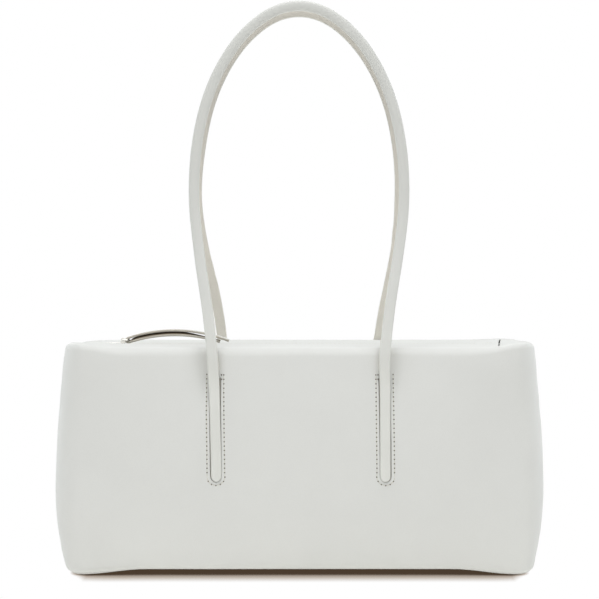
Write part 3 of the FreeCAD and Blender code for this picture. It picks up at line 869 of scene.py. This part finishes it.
route = handleLine()
for name, side in bothSides:
    tongues = [name + "_left_handle_tongue", name + "_right_handle_tongue"]
    for layer, finish, nodes, slotName in (
            ("face", strapLeather, [name + "_handle_strap"] + tongues, "handle_leather"),
            ("backing", backingSuede, [name + "_handle_backing"], "handle_backing")):
        bm = strapAlong(handleStations(route, layer, side))
        if side > 0:
            flip(bm, (1, -1, 1))
        piece = makePiece(name + "Handle" + layer.capitalize(), bm, [finish], 50)
        low, high = handle["bendLevels"]
        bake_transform(piece)
        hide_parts(*nodes)
print("handles done")


# sewn row round each handle end
stitch = dict(inMm(
    offset=2.05, top=136, pitch=2.96, thread=0.3, length=1.2, pit=0.46, pitDeep=0.14, threadUp=0.05,
    pitUp=0.03, tackIn=0.6), flatness=0.8, pitLong=1.15)


def panelPlace(x, level, side):
    # a point on the settled panel and the way out of it
    def at(z):
        place = Vector((x, side * (runY + wallOut(z)), z))
        return place + slackShift(place)
    up = (at(level + 0.5 * mm) - at(level - 0.5 * mm)).normalized()
    return at(level), up, Vector((0, side * up.z, -side * up.y)).normalized()


def slotRow():
    # stitch places round the right slot as (x, level, angle of the row from upright)
    radius = slotHalf + stitch["offset"]
    straight = stitch["top"] - slotFoot
    whole = 2 * straight + pi * radius
    count = round(whole / stitch["pitch"])
    row = []
    for k in range(count):
        run = whole * (k + 0.5) / count
        if run < straight:
            row.append((legX - radius, stitch["top"] - run, 0.0))
        elif run < straight + pi * radius:
            turn = (run - straight) / radius
            row.append((legX - radius * cos(turn), slotFoot - radius * sin(turn), turn))
        else:
            row.append((legX + radius, slotFoot + run - straight - pi * radius, 0.0))
    return row, whole / count


def stitchBead(name, size, index):
    # one low-sided bead that every stitch of its kind is copied from
    bm = bmesh.new()
    bmesh.ops.create_uvsphere(bm, u_segments=8, v_segments=6, radius=1)
    bmesh.ops.scale(bm, vec=size, verts=bm.verts[:])
    for face in bm.faces:
        face.material_index = index
    return meshFrom(name, bm)


thread, pit = stitch["thread"], stitch["pit"]
threadBead = stitchBead("threadBead", (thread, thread * stitch["flatness"], stitch["length"]), 0)
# dark pit beads, the painted shade of the needle holes beside each stitch
pitBead = stitchBead("pitBead", (pit, stitch["pitDeep"], pit * stitch["pitLong"]), 1)


def addBead(bm, bead, place, along, out):
    turn = Matrix((along.cross(out).normalized(), out, along)).transposed().to_4x4()
    copy = bead.copy()
    copy.transform(Matrix.Translation(place) @ turn)
    addMesh(bm, copy)


def addStitch(bm, place, along, out, pitch):
    addBead(bm, threadBead, place + out * stitch["threadUp"], along, out)
    addBead(bm, pitBead, place + along * pitch / 2 + out * stitch["pitUp"], along, out)


for name, side in bothSides:
    bm = bmesh.new()
    row, pitch = slotRow()
    for mirror in (-1, 1):
        for x, level, turn in row:
            place, up, out = panelPlace(mirror * x, level, side)
            along = (up * cos(turn) - mirror * xWay * sin(turn)).normalized()
            addStitch(bm, place, along, out, pitch)
        for down in (0.0, pitch):
            # the row's inner end is tacked a second time, close to the slot
            tackX = mirror * (legX - slotHalf - stitch["tackIn"])
            place, up, out = panelPlace(tackX, stitch["top"] - down, side)
            addBead(bm, pitBead, place + out * stitch["pitUp"], up, out)
    fix(makePiece(name + "SlotSewing", bm, [sewingThread, pitShade]), "bag", "leather")
print("slot sewing done")


# zip: woven tapes with a corded edge that meet past the chain, cast teeth, a flat row that holds each tape
zipper = dict(inMm(
    end=142.66, outer=13, inner=2.25, tapeLow=151.4, tape=0.6, tapeRound=0.15, leftMeet=(-136.2, -138),
    rightMeet=(123.4, 124.6), meetGap=0.05, chain=(-123.86, 121.66), pitch=2.8, mid=151.7,
    tooth=(1.1, 2.9, 2.4), toothRound=0.3, toothOff=0.72, cord=0.55, cordOff=1.75, rowOff=9.6,
    rowStart=-138, rowRun=272, rowSunk=0.14), tapeCells=40, toothHead=(0.86, 1, 0.8), cordCells=30,
    rowCount=91, rowLip=0.93)
zipEnd, zipInner, zipMid = zipper["end"], zipper["inner"], zipper["mid"]
toothSize, zipPitch = zipper["tooth"], zipper["pitch"]
chainStart, chainEnd = zipper["chain"]

bm = block([-s / 2 for s in toothSize], [s / 2 for s in toothSize])
roundEdges(bm, bm.edges[:], zipper["toothRound"], 1)
bmesh.ops.scale(bm, vec=zipper["toothHead"], verts=[v for v in bm.verts if v.co.y > 0])
tooth = meshFrom("zipTooth", bm)

for name, side in bothSides:
    low = (-zipEnd, -zipper["outer"], zipper["tapeLow"])
    bm = block(low, (zipEnd, -zipInner, zipper["tapeLow"] + zipper["tape"]))
    roundEdges(bm, sharpEdges(bm), zipper["tapeRound"], 1)
    leftMeet, rightMeet = zipper["leftMeet"], zipper["rightMeet"]
    sliceAlong(bm, 0, [*spans(-zipEnd, zipEnd, zipper["tapeCells"]), *reversed(leftMeet), *rightMeet])
    for vert in bm.verts:
        if vert.co.y > -2 * zipInner:
            meet = ramp(*leftMeet, vert.co.x) + ramp(*rightMeet, vert.co.x)
            vert.co.y += (zipInner - zipper["meetGap"]) * meet
    if side > 0:
        flip(bm, (1, -1, 1))
    skewEnd(bm, ends["skewFrom"], zipEnd - 0.2 * mm)
    settle(bm)
    fix(makePiece(name + "ZipTape", bm, [tapeCloth]), name + "_top", "zip_tape", name + "_zip_tape")

    bm = bmesh.new()
    place = chainStart + (0.0 if side < 0 else zipPitch / 2) + toothSize[0] / 2
    while place < chainEnd - toothSize[0]:
        middle = Vector((place, side * zipper["toothOff"], zipMid))
        addBead(bm, tooth, middle + slackShift(middle), zWay, -side * yWay)
        place += zipPitch
    fix(makePiece(name + "ZipTeeth", bm, [nickelPlate], 60), name + "_top", "zip_metal", name + "_zip_teeth")

    bm = bmesh.new()
    verts = bmesh.ops.create_circle(bm, cap_ends=False, segments=10, radius=zipper["cord"])["verts"]
    start = Matrix.Translation((chainStart, side * zipper["cordOff"], zipMid))
    bmesh.ops.transform(bm, matrix=start @ Matrix.Rotation(pi / 2, 4, "Y"), verts=verts)
    growEdges(bm, bm.edges[:], (chainEnd - chainStart, 0, 0), zipper["cordCells"])
    closeEnds(bm)
    settle(bm)
    fix(makePiece(name + "ZipCord", bm, [tapeCloth]), name + "_top", "zip_tape")

    bm = bmesh.new()
    level = bagHeight - zipper["rowSunk"] + facing["lip"][side] * zipper["rowLip"]
    for k in range(zipper["rowCount"]):
        x = zipper["rowStart"] + zipper["rowRun"] * k / (zipper["rowCount"] - 1)
        place = Vector((x, side * zipper["rowOff"], level))
        addBead(bm, threadBead, place + slackShift(place), xWay, zWay)
    fix(makePiece(name + "FacingSewing", bm, [sewingThread]), name + "_top", "leather")


# leather tab over the open end of the zip, sewn down across
tab = dict(inMm(
    start=125.16, end=139.9, half=6.7, thick=1.2, round=2.5, edge=0.35, rowIn=3.2, pitch=1.9), stitches=7)
tabEnd, tabHalf = tab["end"], tab["half"]
bm = block((tab["start"], -tabHalf, bagHeight - tab["thick"]), (tabEnd, tabHalf, bagHeight))
roundEdges(bm, [e for e in uprightEdges(bm) if e.verts[0].co.x < tabEnd - 1 * mm], tab["round"], 5)
roundEdges(bm, sharpEdges(bm), tab["edge"], 2)
fix(makePiece("zipEndTab", bm, [whiteLeather]), "bag", "leather", "zip_end_tab")
bm = bmesh.new()
for k in range(tab["stitches"]):
    y = (k - tab["stitches"] // 2) * tab["pitch"]
    addStitch(bm, Vector((tabEnd - tab["rowIn"], y, bagHeight)), yWay, zWay, tab["pitch"])
fix(makePiece("endTabSewing", bm, [sewingThread, pitShade]), "bag", "leather")
for node in ("zip_slider", "zip_pull_ring", "front_zip_stop", "back_zip_stop", "zip_bottom_stop"):
    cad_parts[node].data.materials.clear()
    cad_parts[node].data.materials.append(nickelPlate)
print("zip done")


# zip pull: a strip of leather folded through the ring, its leaves one over the other
pull = dict(inMm(
    fold=(-119.36, 156.4), round=1.55, thick=1.5, half=3.75, upperCrest=(35.15, 6.75),
    upperEnd=(70.1, -0.51), lowerCrest=(31.8, 3.55), lowerEnd=(63.8, -1.19), under=1.8, tilt=1.6,
    sidestep=1.5, leanFrom=(0, 4), leanTo=(34, 56), widths=(0.3, 0.5, 2.95, 2.95, 0.5, 0.3)), slope=18,
    steps=(22, 12, 24))


def archLine(start, crest, end, steps):
    # round arch through three points of a section
    (ax, az), (bx, bz), (cx, cz) = start, crest, end
    twice = 2 * (ax * (bz - cz) + bx * (cz - az) + cx * (az - bz))
    a, b, c = ax * ax + az * az, bx * bx + bz * bz, cx * cx + cz * cz
    centre = ((a * (bz - cz) + b * (cz - az) + c * (az - bz)) / twice,
              (a * (cx - bx) + b * (ax - cx) + c * (bx - ax)) / twice)
    radius = hypot(ax - centre[0], az - centre[1])
    return arcLine(centre, radius, atan2(az - centre[1], ax - centre[0]),
                   atan2(cz - centre[1], cx - centre[0]), steps)


slope = radians(pull["slope"])
lowerSteps, foldSteps, upperSteps = pull["steps"]
fold = arcLine((0, 0), pull["round"], 1.5 * pi + slope, 0.5 * pi + slope, foldSteps)
lower = archLine(pull["lowerEnd"], pull["lowerCrest"], fold[0], lowerSteps)
upper = archLine(fold[-1], pull["upperCrest"], pull["upperEnd"], upperSteps)
foldX, foldZ = pull["fold"]
bm, edges = startSkin([(foldX + x, -pull["half"], foldZ + z) for x, z in lower[:-1] + fold + upper[1:]])
for width in pull["widths"]:
    edges = growEdges(bm, edges, (0, width, 0))
for vert in bm.verts:
    # the lower leaf leans against the upper one along its far edge
    along = vert.co.x - foldX
    nearest = min(upper, key=lambda place: abs(place[0] - along))
    if along > 0 and vert.co.z < foldZ + nearest[1] - pull["under"]:
        lean = ramp(*pull["leanFrom"], along) * (1 - ramp(*pull["leanTo"], along))
        vert.co.z += pull["tilt"] * lean * (vert.co.y / pull["half"] + 1) / 2
        vert.co.y -= pull["sidestep"] * lean
faceOut(bm, (foldX + pull["upperCrest"][0], 0, 0.2))
# the strip's inner faces take the dark flesh tint, which paints the shade between the leaves
piece = makePiece("zipPullStrap", bm, [strapLeather, cutEdge, fleshAndGapShade], 50, pull["thick"])
wall = piece.modifiers["wall"]
wall.offset = 0
wall.material_offset_rim = 1
wall.material_offset = 2
fix(piece, "pull", "leather", "zip_pull_strap")
print("zip pull done")


# lining: a loose cloth sack just inside the leather, with a flat pocket on its back wall
sack = dict(inMm(inset=3.6, thick=0.8, ease=0.5, wrinkle=24), longCells=36, shortCells=10, cornerCells=6,
            baseCells=24)
liningRows = [z * mm for z in (7, 11, 16, 22, 29, 37, 45, 53, 62, 71, 80, 89, 98, 107, 116, 125, 133, 139,
                               143, 145)]
section = sectionLine(liningRows, sack["inset"], False)
bm, edges = startSkin([(-runX, -runY - out, level) for out, level in section])
for side in (-1, 1):
    edges = growEdges(bm, edges, (-side * 2 * runX, 0, 0), sack["longCells"])
    edges = turnEdges(bm, edges, (-side * runX, side * runY, 0), 90, sack["cornerCells"])
    edges = growEdges(bm, edges, (0, -side * 2 * runY, 0), sack["shortCells"])
    edges = turnEdges(bm, edges, (-side * runX, -side * runY, 0), 90, sack["cornerCells"])
bmesh.ops.remove_doubles(bm, verts=bm.verts[:], dist=0.01 * mm)
bmesh.ops.holes_fill(bm, edges=[e for e in bm.edges if e.is_boundary and e.verts[0].co.z < bulge], sides=0)
sliceAlong(bm, 0, spans(-runX, runX, sack["baseCells"]))
faceOut(bm, (0, -0.2, 0.06))
for vert in bm.verts:
    out = pastRuns(vert.co.x, vert.co.y)
    if out.length > 1 * mm:
        loose = 0.5 + 0.5 * noise.noise(vert.co / sack["wrinkle"])
        vert.co -= out.normalized() * sack["ease"] * loose
settle(bm)
fix(makePiece("lining", bm, [liningCloth], thick=sack["thick"]), "bag", "lining", "lining")


def wallPatch(xLow, xHigh, zLow, zHigh, inset, columns, rows):
    # a piece of cloth that follows the back wall
    levels = [zLow] + spans(zLow, zHigh, rows) + [zHigh]
    bm, edges = startSkin([(xLow, runY + wallOut(z, inset), z) for z in levels])
    growEdges(bm, edges, (xHigh - xLow, 0, 0), columns)
    return bm


pocket = dict(inMm(half=75, low=48, high=122, inset=4.9, gape=1.6, gapeFrom=20), cells=(30, 16))
half, low, high = pocket["half"], pocket["low"], pocket["high"]
bm = wallPatch(-half, half, low, high, pocket["inset"], *pocket["cells"])
faceOut(bm, (0, 0.2, 0.09))
for vert in bm.verts:
    gape = ramp(low + pocket["gapeFrom"], high, vert.co.z) * (1 - (vert.co.x / half) ** 2)
    vert.co.y -= pocket["gape"] * gape + sack["ease"]
settle(bm)
fix(makePiece("slipPocket", bm, [liningCloth], thick=sack["thick"]), "bag", "lining", "slip_pocket")

# reinforcement behind each handle slot
patch = dict(inMm(half=9.5, low=59, high=141, inset=2.1, thick=1.2), cells=(8, 14))
for name, side in bothSides:
    for end, way in (("left", -1), ("right", 1)):
        bm = wallPatch(legX - patch["half"], legX + patch["half"], patch["low"],
                       patch["high"], patch["inset"], *patch["cells"])
        flip(bm, (way, side, 1))
        faceOut(bm, (way * legX, side * 0.2, 0.1))
        settle(bm)
        piece = makePiece(name + end.capitalize() + "Patch", bm, [patchFibre], thick=patch["thick"])
        fix(piece, "bag", "backing", name + "_" + end + "_anchor_patch")
print("inside done")

bpy.context.view_layer.update()
